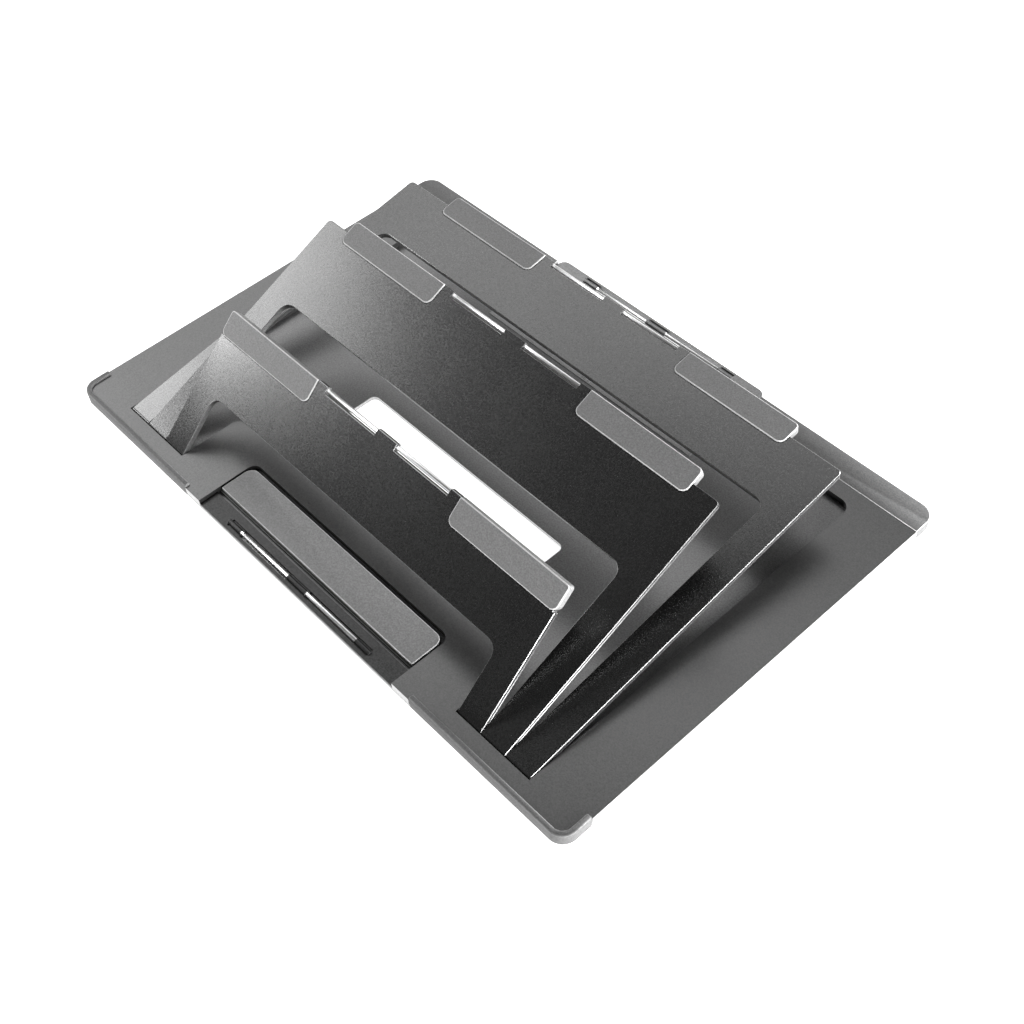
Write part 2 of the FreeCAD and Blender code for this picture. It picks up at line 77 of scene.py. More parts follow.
def soft_box(name, place, target, width, depth, power):
    """An area light, facing target, that the camera doesn't see. Metres and watts."""
    light = bpy.data.lights.new(name, "AREA")
    light.shape = "RECTANGLE"
    light.size = width
    light.size_y = depth
    light.energy = power
    box = bpy.data.objects.new(name, light)
    box.location = place
    aim = Vector(target) - Vector(place)
    box.rotation_euler = aim.to_track_quat("-Z", "Y").to_euler()
    box.visible_camera = False
    bpy.context.scene.collection.objects.link(box)
    return box


soft_box("low_left", (-0.62, -0.40, 0.29), (-0.10, -0.09, 0.03), 0.24, 0.22, 2.6)
soft_box("high_left", (-0.66, -0.17, 0.52), (-0.10, -0.02, 0.03), 0.28, 0.22, 1.7)
soft_box("right_strip", (0.65, -0.02, 0.09), (0.05, 0.0, 0.03), 0.9, 0.14, 12.0)
soft_box("rear_strip", (0.42, 0.60, 0.11), (0.05, 0.0, 0.03), 0.6, 0.16, 8.0)
soft_box("ceiling", (-1.15, 0.50, 1.1), (0.0, 0.05, 0.0), 1.1, 1.1, 9.0)
soft_box("fill", (-0.25, 0.90, 1.2), (0.0, 0.05, 0.0), 0.7, 0.7, 1.6)
soft_box("middle", (-0.36, 0.48, 1.1), (0.0, 0.05, 0.0), 0.4, 0.4, 0.6)


# ---------------------------------------------------------------------------------------
# Base plate, lower half: a blanked aluminium panel with a hand hole, blasted and anodised
# charcoal, with a fine chamfer milled along its cut edges. It lies flat on the desk.
# ---------------------------------------------------------------------------------------
def new_group(name, inputs, outputs):
    """An empty shader node group with the given sockets."""
    group = bpy.data.node_groups.new(name, "ShaderNodeTree")
    for socket, kind, value in inputs:
        made = group.interface.new_socket(socket, in_out="INPUT", socket_type=kind)
        made.default_value = value
    for socket, kind in outputs:
        group.interface.new_socket(socket, in_out="OUTPUT", socket_type=kind)
    return group


def add_node(tree, kind, values=None, links=None):
    """A node with its values set and its inputs fed. A link is (node, output name)."""
    node = tree.nodes.new(kind)
    for key, value in (values or {}).items():
        if isinstance(key, str) and hasattr(node, key):
            setattr(node, key, value)
        else:
            node.inputs[key].default_value = value
    for key, (source, output) in (links or {}).items():
        tree.links.new(source.outputs[output], node.inputs[key])
    return node


def build_grain_group():
    """Blasted, anodised metal: fine grains, their tone and gloss, and faint handling marks."""
    group = new_group(
        "blasted_grain",
        [("Dark", "NodeSocketColor", (0.05, 0.05, 0.05, 1)),
         ("Light", "NodeSocketColor", (0.12, 0.12, 0.12, 1)),
         ("Grain", "NodeSocketFloat", 1700.0),
         ("Dull", "NodeSocketFloat", 0.45),
         ("Relief", "NodeSocketFloat", 0.25)],
        [("Color", "NodeSocketColor"), ("Roughness", "NodeSocketFloat"),
         ("Normal", "NodeSocketVector")])
    asked = group.nodes.new("NodeGroupInput")
    given = group.nodes.new("NodeGroupOutput")
    place = add_node(group, "ShaderNodeTexCoord")
    grains = add_node(group, "ShaderNodeTexNoise", {"Detail": 3.0, "Roughness": 0.65},
                      {"Vector": (place, "Object"), "Scale": (asked, "Grain")})
    marks = add_node(group, "ShaderNodeTexNoise", {"Scale": 22.0, "Detail": 4.0},
                     {"Vector": (place, "Object")})
    spread = add_node(group, "ShaderNodeMapRange",
                      {"From Min": 0.3, "From Max": 0.72, "To Min": 0.0, "To Max": 1.0},
                      {"Value": (grains, "Fac")})
    faint = add_node(group, "ShaderNodeMapRange",
                     {"From Min": 0.3, "From Max": 0.7, "To Min": -0.012, "To Max": 0.018},
                     {"Value": (marks, "Fac")})
    tone = add_node(group, "ShaderNodeMix", {"data_type": "RGBA"})
    group.links.new(spread.outputs["Result"], tone.inputs["Factor"])
    group.links.new(asked.outputs["Dark"], tone.inputs[6])
    group.links.new(asked.outputs["Light"], tone.inputs[7])
    wander = add_node(group, "ShaderNodeMath", {"operation": "ADD"})
    group.links.new(asked.outputs["Dull"], wander.inputs[0])
    group.links.new(faint.outputs["Result"], wander.inputs[1])
    speck = add_node(group, "ShaderNodeMath", {"operation": "MULTIPLY_ADD", 1: 0.06})
    group.links.new(spread.outputs["Result"], speck.inputs[0])
    group.links.new(wander.outputs["Value"], speck.inputs[2])
    bump = add_node(group, "ShaderNodeBump", {"Distance": 0.0002},
                    {"Height": (grains, "Fac"), "Strength": (asked, "Relief")})
    group.links.new(tone.outputs[2], given.inputs["Color"])
    group.links.new(speck.outputs["Value"], given.inputs["Roughness"])
    group.links.new(bump.outputs["Normal"], given.inputs["Normal"])
    return group


grain_group = build_grain_group()


def grained(name, dark, light, grain, dull, relief, metallic):
    """A material of grains in two tones, with their fineness, roughness, relief and metal."""
    material = bpy.data.materials.new(name)
    material.use_nodes = True
    tree = material.node_tree
    shader = tree.nodes["Principled BSDF"]
    shader.inputs["Metallic"].default_value = metallic
    finish = tree.nodes.new("ShaderNodeGroup")
    finish.node_tree = grain_group
    finish.inputs["Dark"].default_value = (dark, dark, dark, 1)
    finish.inputs["Light"].default_value = (light, light, light, 1)
    finish.inputs["Grain"].default_value = grain
    finish.inputs["Dull"].default_value = dull
    finish.inputs["Relief"].default_value = relief
    tree.links.new(finish.outputs["Color"], shader.inputs["Base Color"])
    tree.links.new(finish.outputs["Roughness"], shader.inputs["Roughness"])
    tree.links.new(finish.outputs["Normal"], shader.inputs["Normal"])
    return material


plate_finish = grained("plate_charcoal", 0.088, 0.125, 1500.0, 0.28, 0.12, 0.85)
# Near-black finish: painted shade, for the seams and pad grooves of the leaves and for the plates
# down in the front notch.
recess_shade_finish = grained("recess_painted_shade", 0.025, 0.06, 1500.0, 0.34, 0.20, 0.85)
plate_edge = grained("plate_broken_edge", 0.15, 0.25, 1200.0, 0.35, 0.15, 0.9)
edge_finish = grained("cut_edge_bright", 0.42, 0.62, 900.0, 0.30, 0.10, 1.0)

# Lengths are in millimetres, from the middle of the stand's underside.
PLATE_SIDE = 165.0
PLATE_END = 110.0
PANEL_TOP = 2.1
FRAME_TOP = 5.6
CORNER = 7.3
LIP_END = 77.5
LIP_WIDTH = 2.6
LIP_BACK = -94.5
WRAP = 1.0
GRIP_FRONT = 96.1
FINE_CHAMFER = 0.15
# How far a cutting block reaches past the face it cuts, and how close counts as the same place.
BEYOND = 2.0
MARGIN = 0.01
NEAR = 0.00001
SIDES = {"left": -1, "right": 1}


def slab(name, across, along, up):
    """A block of stock at its size and place, in millimetres."""
    spans = (across, along, up)
    bpy.ops.object.select_all(action="DESELECT")
    bpy.ops.mesh.primitive_cube_add(size=1, location=[sum(s) / 2 * MM for s in spans])
    piece = bpy.context.object
    piece.name = piece.data.name = name
    piece.scale = [abs(hi - lo) * MM for lo, hi in spans]
    bpy.ops.object.transform_apply(location=True, rotation=True, scale=True)
    return piece


def select_edges(piece, wanted):
    """Leaves only the wanted edges selected; wanted takes an edge's two ends."""
    bpy.ops.object.select_all(action="DESELECT")
    bpy.context.view_layer.objects.active = piece
    piece.select_set(True)
    bpy.ops.object.mode_set(mode="EDIT")
    bpy.ops.mesh.select_mode(type="EDGE")
    bpy.ops.mesh.select_all(action="DESELECT")
    bpy.ops.object.mode_set(mode="OBJECT")
    points = piece.data.vertices
    for edge in piece.data.edges:
        edge.select = wanted(*(points[i].co for i in edge.vertices))


def bevel_edges(offset, segments):
    """Rounds the selected edges."""
    bpy.ops.object.mode_set(mode="EDIT")
    bpy.ops.mesh.bevel(offset=offset * MM, segments=segments, affect="EDGES", clamp_overlap=False)
    bpy.ops.object.mode_set(mode="OBJECT")


def round_uprights(piece, places, radius, segments=8):
    """Rounds the upright edges that stand at the given places."""
    def wanted(a, b):
        upright = abs(a.x - b.x) < NEAR and abs(a.y - b.y) < NEAR
        return upright and any(
            abs(a.x - x * MM) < NEAR and abs(a.y - y * MM) < NEAR for x, y in places)
    select_edges(piece, wanted)
    bevel_edges(radius, segments)
    return piece


def apply(piece, modifier):
    """Makes the modifier's result the piece's own mesh."""
    bpy.context.view_layer.objects.active = piece
    bpy.ops.object.modifier_apply(modifier=modifier.name)


def combine(piece, tool, operation):
    """Cuts the tool out of the piece, or welds it on, and drops the tool."""
    step = piece.modifiers.new("combine", "BOOLEAN")
    step.operation = operation
    step.object = tool
    step.solver = "EXACT"
    apply(piece, step)
    bpy.data.objects.remove(tool, do_unlink=True)
    return piece


def cut(piece, *tools):
    """Cuts each of the tools out of the piece."""
    for tool in tools:
        combine(piece, tool, "DIFFERENCE")
    return piece


def add_finish(piece, finish):
    """Gives the piece one more finish, and returns its slot."""
    piece.data.materials.append(finish)
    return len(piece.data.materials) - 1


def chamfer(piece, width, face, edge, segments=1):
    """Breaks the sharp edges, and gives faces and broken edges their finishes."""
    piece.data.materials.clear()
    piece.data.materials.append(face)
    piece.data.materials.append(edge)
    for polygon in piece.data.polygons:
        polygon.material_index = 0
    step = piece.modifiers.new("chamfer", "BEVEL")
    step.width = width * MM
    step.segments = segments
    step.limit_method = "ANGLE"
    step.angle_limit = math.radians(40)
    step.material = 1
    step.harden_normals = segments > 1
    apply(piece, step)
    bpy.ops.object.select_all(action="DESELECT")
    piece.select_set(True)
    bpy.context.view_layer.objects.active = piece
    if segments > 1:
        bpy.ops.object.shade_smooth()
    else:
        bpy.ops.object.shade_smooth_by_angle(angle=math.radians(25))
    return piece


def round_rim(piece, width, height, face, edge):
    """Rounds only the rim of the top face, for a skin too thin to round all over."""
    piece.data.materials.clear()
    piece.data.materials.append(face)
    piece.data.materials.append(edge)
    select_edges(piece, lambda a, b: min(a.z, b.z) > (height - 0.001) * MM)
    bevel_edges(width, 3)
    for polygon in piece.data.polygons:
        polygon.material_index = 1 if 0.02 < polygon.normal.z < 0.98 else 0
    return piece


def hand_over(piece, node, body):
    """The piece stands in for its CAD node, which it hides, and moves with its body."""
    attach(piece, body)
    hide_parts(node)


def plate_blank(name, low, high):
    """The plate's outline, set back where the lips and the rear strips wrap round it."""
    blank = slab(name, (-PLATE_SIDE, PLATE_SIDE), (-PLATE_END, PLATE_END), (low, high))
    deep = (low - BEYOND, high + BEYOND)
    for sign in SIDES.values():
        inner = sign * (PLATE_SIDE - LIP_WIDTH)
        outer = sign * (PLATE_SIDE + BEYOND)
        lip = slab("lip_room", sorted((sign * LIP_END, outer)),
                   (-PLATE_END - BEYOND, LIP_BACK), deep)
        core = slab("lip_core", sorted((0.0, inner)),
                    (-PLATE_END + LIP_WIDTH, LIP_BACK + BEYOND),
                    (low - 2 * BEYOND, high + 2 * BEYOND))
        round_uprights(core, [(inner, -PLATE_END + LIP_WIDTH)], CORNER - LIP_WIDTH)
        cut(lip, core)
        cut(blank, lip)
        metal = sign * (PLATE_SIDE - WRAP)
        wrap = slab("wrap_room", sorted((0.0, outer)),
                    (GRIP_FRONT, PLATE_END + BEYOND), deep)
        core = slab("wrap_core", sorted((-sign * BEYOND, metal)),
                    (GRIP_FRONT - BEYOND, PLATE_END - WRAP),
                    (low - 2 * BEYOND, high + 2 * BEYOND))
        round_uprights(core, [(metal, PLATE_END - WRAP)], CORNER - WRAP)
        cut(wrap, core)
        cut(blank, wrap)
    return blank


def finish_sides(piece, finish, chosen=None):
    """Gives the upright cut faces, or the chosen ones of them, their own finish."""
    slot = add_finish(piece, finish)
    for polygon in piece.data.polygons:
        upright = abs(polygon.normal.z) < 0.3
        if upright and (chosen is None or chosen(polygon.center / MM)):
            polygon.material_index = slot


HOLE_SIDE = 64.0
HOLE_NEAR = -60.5
HOLE_FAR = -12.1
HOLE_CORNER = 3.0

# A lighter, less metallic copy of the plate's finish: painted light, for the light that reaches the
# panel under the leaves.
panel_lit_finish = grained("panel_charcoal_painted_light", 0.10, 0.19, 1500.0, 0.34, 0.18, 0.6)

panel = plate_blank("base_panel", 0.0, PANEL_TOP)
hole = slab("hole", (-HOLE_SIDE, HOLE_SIDE), (HOLE_NEAR, HOLE_FAR), (-BEYOND, PANEL_TOP + BEYOND))
hole_corners = [(x, y) for x in (-HOLE_SIDE, HOLE_SIDE) for y in (HOLE_NEAR, HOLE_FAR)]
round_uprights(hole, hole_corners, HOLE_CORNER)
cut(panel, hole)
chamfer(panel, FINE_CHAMFER, panel_lit_finish, plate_edge)
finish_sides(panel, edge_finish)
hand_over(panel, "bottom_panel", "base")


# ---------------------------------------------------------------------------------------
# Base plate, upper half: a second aluminium blank bonded on the panel. Its window holds
# the folded leaves, and its tongue fills the middle of the smallest leaf.
# ---------------------------------------------------------------------------------------
WINDOW_SIDE = 137.0
WINDOW_NEAR = -100.2
WINDOW_FAR = 88.2
WINDOW_CORNER = 5.5
TONGUE_SIDE = 94.65
TONGUE_BACK = -67.9
TONGUE_CORNER = 4.0
NOTCH_SIDE = 67.0
NOTCH_BACK = -78.8
NOTCH_CORNER = 4.5
STRIP_COVER = 1.0
FOOT_ROOM = 0.35
FRAME_CHAMFER = 0.2

upper = plate_blank("base_frame", PANEL_TOP, FRAME_TOP)
through = (PANEL_TOP - BEYOND, FRAME_TOP + BEYOND)
window = slab("window", (-WINDOW_SIDE, WINDOW_SIDE), (WINDOW_NEAR, WINDOW_FAR), through)
round_uprights(window, [(s * WINDOW_SIDE, WINDOW_FAR) for s in (-1, 1)], WINDOW_CORNER)
tongue = slab("tongue", (-TONGUE_SIDE, TONGUE_SIDE), (WINDOW_NEAR - BEYOND, TONGUE_BACK),
              (through[0] - BEYOND, through[1] + BEYOND))
round_uprights(tongue, [(s * TONGUE_SIDE, TONGUE_BACK) for s in (-1, 1)], TONGUE_CORNER)
cut(window, tongue)
cut(upper, window)
notch = slab("notch", (-NOTCH_SIDE, NOTCH_SIDE), (-PLATE_END - BEYOND, NOTCH_BACK), through)
round_uprights(notch, [(s * NOTCH_SIDE, NOTCH_BACK) for s in (-1, 1)], NOTCH_CORNER)
rear_notch = slab("rear_notch", (-NOTCH_SIDE, NOTCH_SIDE),
                  (GRIP_FRONT, PLATE_END + BEYOND), through)
rebate = slab("rebate", (-PLATE_SIDE - BEYOND, PLATE_SIDE + BEYOND),
              (GRIP_FRONT, PLATE_END + BEYOND), (FRAME_TOP - STRIP_COVER, FRAME_TOP + BEYOND))
foot_room = slab("foot_room", (-NOTCH_SIDE, NOTCH_SIDE), (WINDOW_FAR - BEYOND, GRIP_FRONT + BEYOND),
                 (PANEL_TOP - BEYOND, PANEL_TOP + FOOT_ROOM))
cut(upper, notch, rear_notch, rebate, foot_room)
chamfer(upper, FRAME_CHAMFER, plate_finish, plate_edge)


def on_outline(middle):
    """Whether a face is on the plate's outer sides or its front and back ends."""
    return abs(middle.x) > WINDOW_SIDE + 1 or abs(middle.y) > PLATE_END - 1


finish_sides(upper, edge_finish, on_outline)
hand_over(upper, "top_frame", "base")


# ---------------------------------------------------------------------------------------
# Front lips: two soft rubber rims round the front corners, moulded in one piece each and
# pushed onto the plate. They stand proud of it, so that a tablet's edge rests on them.
# ---------------------------------------------------------------------------------------
rubber_finish = grained("rubber_grey", 0.13, 0.24, 1500.0, 0.52, 0.45, 0.0)
# The rubber's lighter rounded edges on the rear strips and the front grip pad are painted
# highlight, where the rims catch the light.
rubber_edge_highlight = grained("rubber_edge_painted_highlight", 0.38, 0.55, 1300.0, 0.42, 0.25, 0.0)
lip_finish = grained("lip_rubber", 0.07, 0.135, 1500.0, 0.55, 0.45, 0.0)
# The lips' lighter rounded edges are painted highlight along their tops and rims.
lip_edge_highlight = grained("lip_edge_painted_highlight", 0.12, 0.20, 1300.0, 0.5, 0.35, 0.0)
LIP_TOP = 6.8
LIP_ROUND = 0.55

for side, sign in SIDES.items():
    rim = slab("lip_" + side, sorted((sign * LIP_END, sign * PLATE_SIDE)),
               (-PLATE_END, LIP_BACK), (0.0, LIP_TOP))
    round_uprights(rim, [(sign * PLATE_SIDE, -PLATE_END)], CORNER, 12)
    inner = sign * (PLATE_SIDE - LIP_WIDTH)
    room = slab("room", sorted((0.0, inner)), (-PLATE_END + LIP_WIDTH, LIP_BACK + BEYOND),
                (-BEYOND, LIP_TOP + BEYOND))
    round_uprights(room, [(inner, -PLATE_END + LIP_WIDTH)], CORNER - LIP_WIDTH, 10)
    cut(rim, room)
    chamfer(rim, LIP_ROUND, lip_finish, lip_edge_highlight, 3)
    hand_over(rim, "front_lip_" + side, "base")


# ---------------------------------------------------------------------------------------
# Rear strips: two flat rubber strips that cover the back corners of the plate, wrap its
# edges and stop the stand sliding. Moulded, and bonded into a rebate in the metal.
# ---------------------------------------------------------------------------------------
STRIP_TOP = 5.75
STRIP_ROUND = 0.3
strip_finish = grained("strip_rubber", 0.085, 0.16, 1500.0, 0.58, 0.45, 0.0)

for side, sign in SIDES.items():
    strip = slab("strip_" + side, sorted((sign * NOTCH_SIDE, sign * PLATE_SIDE)),
                 (GRIP_FRONT, PLATE_END), (0.0, STRIP_TOP))
    round_uprights(strip, [(sign * PLATE_SIDE, PLATE_END)], CORNER, 12)
    metal = sign * (PLATE_SIDE - WRAP)
    seat = slab("seat", sorted((0.0, metal)), (GRIP_FRONT - BEYOND, PLATE_END - WRAP),
                (-BEYOND, FRAME_TOP - STRIP_COVER))
    round_uprights(seat, [(metal, PLATE_END - WRAP)], CORNER - WRAP, 10)
    cut(strip, seat)
    chamfer(strip, STRIP_ROUND, strip_finish, rubber_edge_highlight, 3)
    hand_over(strip, "rear_grip_" + side, "base")


# ---------------------------------------------------------------------------------------
# Catch plates: thin stamped plates in the front and rear notches of the upper half. Each
# has a long slot with a steel pin across it, held in low barrels on webs.
# ---------------------------------------------------------------------------------------
steel_finish = grained("pin_steel", 0.80, 0.92, 300.0, 0.28, 0.01, 1.0)
# A lighter grey than the plate: painted light on the raised rear catch plate.
tail_lit_finish = grained("catch_plate_painted_light", 0.17, 0.29, 1300.0, 0.34, 0.15, 0.8)
FIT = 0.35
CATCH_INNER = 6.3
CATCH_OUTER = 39.9
SLOT_SIDE = 48.5
SLOT_HALF = 2.0
BARREL_END = SLOT_SIDE + FIT
BARREL_RADIUS = 1.25
WEB_THICK = 0.9
WEB_LAP = 0.2
PIN_RADIUS = 1.0
PIN_HEIGHT = PANEL_TOP + BARREL_RADIUS
PIN_REACH = 43.9
PIN_CHAMFER = 0.2


def cross_rod(name, start, end, along, height, radius, sides=32):
    """A round bar that lies across the plate, from start to end."""
    bpy.ops.object.select_all(action="DESELECT")
    bpy.ops.mesh.primitive_cylinder_add(
        vertices=sides, radius=radius * MM, depth=abs(end - start) * MM,
        location=((start + end) / 2 * MM, along * MM, height * MM),
        rotation=(0.0, math.pi / 2, 0.0))
    bar = bpy.context.object
    bar.name = bar.data.name = name
    bpy.ops.object.transform_apply(location=True, rotation=True, scale=True)
    return bar


def catch_slot(plate, along, top):
    """Opens the slot, then welds on webs and barrels that hold the pin."""
    near, far = along - SLOT_HALF, along + SLOT_HALF
    cut(plate, slab("slot", (-SLOT_SIDE, SLOT_SIDE), (near, far),
                    (PANEL_TOP - BEYOND, top + BEYOND)))
    for start, end in ((-BARREL_END, -CATCH_OUTER), (-CATCH_INNER, CATCH_INNER),
                       (CATCH_OUTER, BARREL_END)):
        web = slab("web", (start, end), (near - WEB_LAP, far + WEB_LAP),
                   (PANEL_TOP, PANEL_TOP + WEB_THICK))
        combine(plate, web, "UNION")
        combine(plate, cross_rod("barrel", start, end, along, PIN_HEIGHT, BARREL_RADIUS), "UNION")
    return plate


def polish_ends(plate, along):
    """The barrels' sawn ends, beside the open stretches of the pin, are bare metal."""
    bare = add_finish(plate, edge_finish)
    for polygon in plate.data.polygons:
        middle = polygon.center / MM
        if (abs(polygon.normal.x) > 0.9 and abs(middle.y - along) < BARREL_RADIUS
                and abs(middle.z - PIN_HEIGHT) < BARREL_RADIUS and abs(middle.x) < BARREL_END + 1):
            polygon.material_index = bare


def catch_pin(name, along, height):
    """A ground steel pin with broken ends."""
    bar = cross_rod(name, -PIN_REACH, PIN_REACH, along, height, PIN_RADIUS)
    return chamfer(bar, PIN_CHAMFER, steel_finish, steel_finish, 2)


FRONT_PIN = -106.4
REAR_PIN = 110.6
PLATE_HALF = NOTCH_SIDE - FIT
THIN_TOP = PANEL_TOP + 1.5

front_plate = slab("front_catch", (-PLATE_HALF, PLATE_HALF), (-PLATE_END, WINDOW_NEAR - FIT),
                   (PANEL_TOP, THIN_TOP))
catch_slot(front_plate, FRONT_PIN, THIN_TOP)
# Painted shade: the front catch plate is near black, down in the notch.
chamfer(front_plate, FINE_CHAMFER, recess_shade_finish, plate_edge)
polish_ends(front_plate, FRONT_PIN)
hand_over(front_plate, "front_catch_plate", "base")
front_pin = catch_pin("front_pin", FRONT_PIN, PIN_HEIGHT)
hand_over(front_pin, "front_catch_pin", "base")

TAIL_BACK = 113.7
TAIL_TOP = PANEL_TOP + 2.1
TAIL_CORNER = 4.0
TAIL_CHAMFER = 0.12
FOOT_FRONT = 62.6
FOOT_TOP = PANEL_TOP + 0.3

tail = slab("rear_catch", (-PLATE_HALF, PLATE_HALF), (GRIP_FRONT + FIT, TAIL_BACK),
            (PANEL_TOP, TAIL_TOP))
round_uprights(tail, [(s * PLATE_HALF, TAIL_BACK) for s in (-1, 1)], TAIL_CORNER)
foot = slab("foot", (-PLATE_HALF, PLATE_HALF), (FOOT_FRONT, GRIP_FRONT + 2 * FIT),
            (PANEL_TOP, FOOT_TOP))
combine(tail, foot, "UNION")
catch_slot(tail, REAR_PIN, TAIL_TOP)
# Painted light: the rear catch plate takes the lighter grey.
chamfer(tail, TAIL_CHAMFER, tail_lit_finish, plate_edge)
polish_ends(tail, REAR_PIN)
hand_over(tail, "rear_catch_plate", "base")
rear_pin = catch_pin("rear_pin", REAR_PIN, PIN_HEIGHT)
hand_over(rear_pin, "rear_catch_pin", "base")


# ---------------------------------------------------------------------------------------
# Front grip: a flat moulded rubber pad, bonded on a thin stamped carrier that is let into
# the front notch, behind the catch plate.
# ---------------------------------------------------------------------------------------
CARRIER_FRONT = -99.1
CARRIER_BACK = -79.15
GRIP_PAD_SIDE = 65.9
GRIP_PAD_FRONT = -98.3
GRIP_PAD_BACK = -81.1
GRIP_PAD_CORNER = 4.5
GRIP_PAD_ROUND = 0.35

carrier = slab("pad_carrier", (-PLATE_HALF, PLATE_HALF), (CARRIER_FRONT, CARRIER_BACK),
               (PANEL_TOP, THIN_TOP))
round_uprights(carrier, [(s * PLATE_HALF, CARRIER_BACK) for s in (-1, 1)], NOTCH_CORNER)
# Painted shade: the carrier is near black, down in the notch under the pad.
chamfer(carrier, FINE_CHAMFER, recess_shade_finish, plate_edge)
hand_over(carrier, "front_pad_plate", "base")
grip_pad = slab("grip_pad", (-GRIP_PAD_SIDE, GRIP_PAD_SIDE), (GRIP_PAD_FRONT, GRIP_PAD_BACK),
                (THIN_TOP, FRAME_TOP))
pad_corners = [(s * GRIP_PAD_SIDE, GRIP_PAD_BACK) for s in (-1, 1)]
round_uprights(grip_pad, pad_corners, GRIP_PAD_CORNER, 10)
chamfer(grip_pad, GRIP_PAD_ROUND, rubber_finish, rubber_edge_highlight, 3)
hand_over(grip_pad, "front_grip_pad", "base")


# ---------------------------------------------------------------------------------------
# Leaves: three stamped U-shaped sheets nested one inside the next, anodised like the
# base, on one hinge line. Each has a full-round knuckle at the foot of its legs, a steel
# catch pin across its free edge, and a moulded rubber pad wrapped round each free corner.
# ---------------------------------------------------------------------------------------
leaf_finish = grained("leaf_charcoal", 0.070, 0.118, 1300.0, 0.235, 0.04, 0.95)
sheared_finish = grained("sheared_side", 0.18, 0.30, 1100.0, 0.40, 0.08, 1.0)
leaf_edge = grained("leaf_broken_edge", 0.26, 0.40, 900.0, 0.34, 0.08, 1.0)
# The pads' light rims are painted highlight: the bright border round each pad.
pad_rim_highlight = grained("pad_rim_painted_highlight", 0.50, 0.68, 1300.0, 0.42, 0.15, 0.0)
HINGE_Y = -98.5
HINGE_Z = 4.2
# A leaf is made flat, with lengths from the hinge line and heights from the sheet's middle.
HALF = 1.4
LEAF_WINDOW_CORNER = 5.5
LEAF_CORNER = 2.2
LEAF_CHAMFER = 0.34
NOTCH = 3.3
PIN_SETBACK = 1.5
SHOULDER = 6.6
SEAM_LOW, SEAM_HIGH = 0.15, 0.5
SEAM_DEPTH = 0.3
PAD_INNER = 46.2
PAD_OUTER = 108.65
PAD_REACH = 12.2
PAD_WRAP = 1.0
PAD_DROP = 0.35
PAD_RISE = 0.6
PAD_CORNER = 3.3
PAD_ROUND = 0.45
PAD_GROOVE = 0.35
GROOVE_DEPTH = 0.3
GROOVE_CORNER = 3.6
LEAVES = {
    "small": {"tilt": 43.0, "length": 68.6, "window": 31.4, "outer": 108.65, "inner": 95.0,
              "pad_corner": 1.4},
    "medium": {"tilt": 23.6, "length": 133.5, "window": 84.1, "outer": 122.65, "inner": 109.0,
               "pad_corner": 2.2},
    "large": {"tilt": 10.1, "length": 185.0, "window": 147.3, "outer": 136.65, "inner": 123.0,
              "pad_corner": 2.2},
}


def tilt_up(piece, tilt):
    """Turns a piece made flat on the hinge line up to the leaf's angle."""
    bpy.ops.object.select_all(action="DESELECT")
    piece.select_set(True)
    bpy.context.view_layer.objects.active = piece
    piece.rotation_euler = (math.radians(tilt), 0.0, 0.0)
    piece.location = (0.0, HINGE_Y * MM, HINGE_Z * MM)
    bpy.ops.object.transform_apply(location=True, rotation=True, scale=True)
    return piece


def at_foot(a, b):
    """Whether an edge runs across the foot of a flat sheet."""
    level = abs(a.z - b.z) < NEAR
    return level and abs(a.y + HALF * MM) < NEAR and abs(b.y + HALF * MM) < NEAR


def trim_sheet(sheet, leaf):
    """Rounds the knuckles, opens the window, and cuts room for the pin and the pads."""
    length, window, outer, inner = (leaf[k] for k in ("length", "window", "outer", "inner"))
    select_edges(sheet, at_foot)
    bevel_edges(HALF - MARGIN, 8)
    deep = (-HALF - BEYOND, HALF + BEYOND)
    opening = slab("opening", (-inner, inner), (-HALF - BEYOND, window), deep)
    round_uprights(opening, [(s * inner, window) for s in (-1, 1)], LEAF_WINDOW_CORNER)
    cut(sheet, opening)
    past = length + BEYOND
    for sign in SIDES.values():
        pin_room = sorted((sign * CATCH_INNER, sign * CATCH_OUTER))
        cut(sheet, slab("notch", pin_room, (length - NOTCH, past), deep))
        wrapped = sorted((sign * (PAD_OUTER - PAD_WRAP), sign * (outer + BEYOND)))
        if outer > PAD_OUTER:
            cut(sheet, slab("shoulder", wrapped, (length - SHOULDER, past), deep))
            round_uprights(sheet, [(sign * outer, length - SHOULDER)], LEAF_CORNER)
        else:
            cut(sheet, slab("side", wrapped, (length - PAD_REACH, past), deep))
        pad_span = sorted((sign * PAD_INNER, sign * (PAD_OUTER + BEYOND)))
        cut(sheet, slab("end", pad_span, (length - PAD_WRAP, past), deep))


def score_sheet(sheet, leaf):
    """Cuts the fine seam along each outer side and the groove round each pad."""
    length, outer = leaf["length"], leaf["outer"]
    front = length - PAD_REACH - PAD_GROOVE
    near, far = PAD_INNER - PAD_GROOVE, PAD_OUTER + PAD_GROOVE
    for sign in SIDES.values():
        side = sorted((sign * (outer - SEAM_DEPTH), sign * (outer + BEYOND)))
        cut(sheet, slab("seam", side, (0.0, length + BEYOND), (SEAM_LOW, SEAM_HIGH)))
        room = slab("pad_room", sorted((sign * near, sign * far)), (front, length + BEYOND),
                    (HALF - GROOVE_DEPTH, HALF + BEYOND))
        round_uprights(room, [(sign * x, front) for x in (near, far)], GROOVE_CORNER, 10)
        cut(sheet, room)


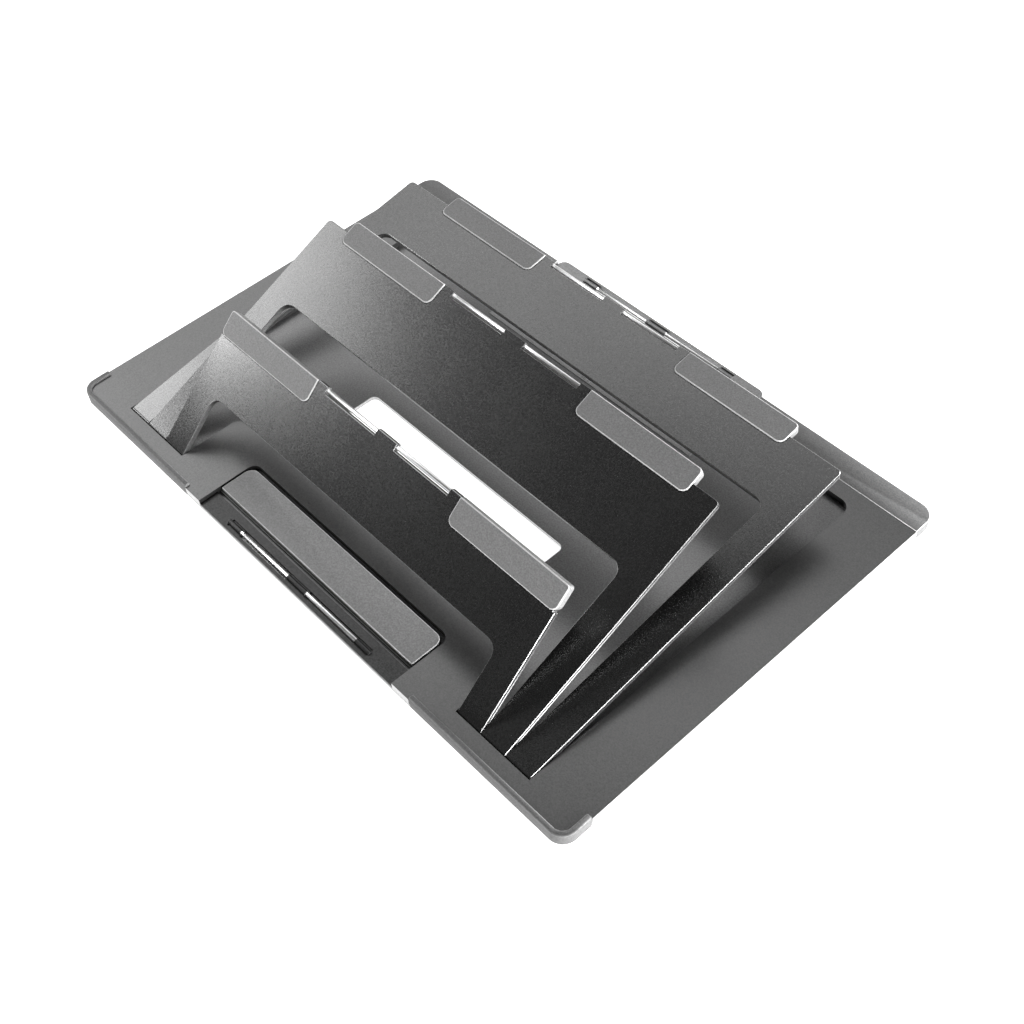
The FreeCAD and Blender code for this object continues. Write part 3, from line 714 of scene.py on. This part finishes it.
def leaf_sheet(name, leaf):
    """A leaf's sheet with its sheared sides a little lighter, and painted shade in its seam and
    grooves.
    """
    sheet = slab(name, (-leaf["outer"], leaf["outer"]), (-HALF, leaf["length"]), (-HALF, HALF))
    trim_sheet(sheet, leaf)
    chamfer(sheet, LEAF_CHAMFER, leaf_finish, leaf_edge)
    sheared = add_finish(sheet, sheared_finish)
    for polygon in sheet.data.polygons:
        if polygon.material_index == 0 and abs(polygon.normal.z) < 0.5:
            polygon.material_index = sheared
    score_sheet(sheet, leaf)
    # Painted shade in the seam and the groove floors, which take the near-black finish.
    dark = add_finish(sheet, recess_shade_finish)
    for polygon in sheet.data.polygons:
        height = polygon.center.z / MM
        in_seam = (SEAM_LOW - MARGIN < height < SEAM_HIGH + MARGIN
                   and abs(polygon.normal.x) < 0.9 and polygon.center.y > 0)
        in_groove = (HALF - GROOVE_DEPTH - MARGIN < height < HALF - MARGIN
                     and polygon.normal.z > 0.9)
        if in_seam or in_groove:
            polygon.material_index = dark
    return tilt_up(sheet, leaf["tilt"])


def leaf_pad(name, leaf, sign):
    """A rubber pad that wraps one free corner of the sheet, with a lighter rim painted as a
    highlight.
    """
    length = leaf["length"]
    front = length - PAD_REACH
    pad = slab(name, sorted((sign * PAD_INNER, sign * PAD_OUTER)), (front, length),
               (-HALF - PAD_DROP, HALF + PAD_RISE))
    round_uprights(pad, [(sign * x, front) for x in (PAD_INNER, PAD_OUTER)], PAD_CORNER, 10)
    round_uprights(pad, [(sign * PAD_OUTER, length)], leaf["pad_corner"])
    start = sign * (PAD_INNER - BEYOND)
    wrapped = sorted((start, sign * (PAD_OUTER - PAD_WRAP)))
    if leaf["outer"] > PAD_OUTER:
        slot = slab("slot", sorted((start, sign * (PAD_OUTER + BEYOND))),
                    (front - BEYOND, length - SHOULDER), (-HALF, HALF))
        rest = slab("rest", wrapped, (length - SHOULDER - BEYOND, length - PAD_WRAP), (-HALF, HALF))
        cut(pad, slot, rest)
    else:
        cut(pad, slab("slot", wrapped, (front - BEYOND, length - PAD_WRAP), (-HALF, HALF)))
    round_rim(pad, PAD_ROUND, HALF + PAD_RISE, rubber_finish, pad_rim_highlight)
    return tilt_up(pad, leaf["tilt"])


for name, leaf in LEAVES.items():
    body = name + "_leaf"
    sheet = leaf_sheet("leaf_%s_sheet" % name, leaf)
    hand_over(sheet, "leaf_" + name, body)
    pin = catch_pin("leaf_%s_pin" % name, leaf["length"] - PIN_SETBACK, 0.0)
    tilt_up(pin, leaf["tilt"])
    hand_over(pin, "leaf_%s_catch_pin" % name, body)
    for side, sign in SIDES.items():
        pad = leaf_pad("leaf_%s_rubber_%s" % (name, side), leaf, sign)
        hand_over(pad, "leaf_%s_pad_%s" % (name, side), body)


# ---------------------------------------------------------------------------------------
# Hinge pins, friction sleeves and rivets: small turned parts, kept just as they were drawn.
# The pins and rivets are steel, and the sleeves are dark acetal pressed into the legs.
# ---------------------------------------------------------------------------------------
sleeve_finish = grained("sleeve_acetal", 0.02, 0.05, 1200.0, 0.5, 0.15, 0.0)
rivet_finish = grained("rivet_bright", 0.55, 0.75, 900.0, 0.28, 0.10, 1.0)
CARRIED = {"hinge_pin_left": steel_finish, "hinge_pin_right": steel_finish,
           "rear_plate_rivets": rivet_finish}
for name in LEAVES:
    for side in SIDES:
        CARRIED["leaf_%s_sleeve_%s" % (name, side)] = sleeve_finish
for node, finish in CARRIED.items():
    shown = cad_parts[node]
    shown.data.materials.clear()
    shown.data.materials.append(finish)
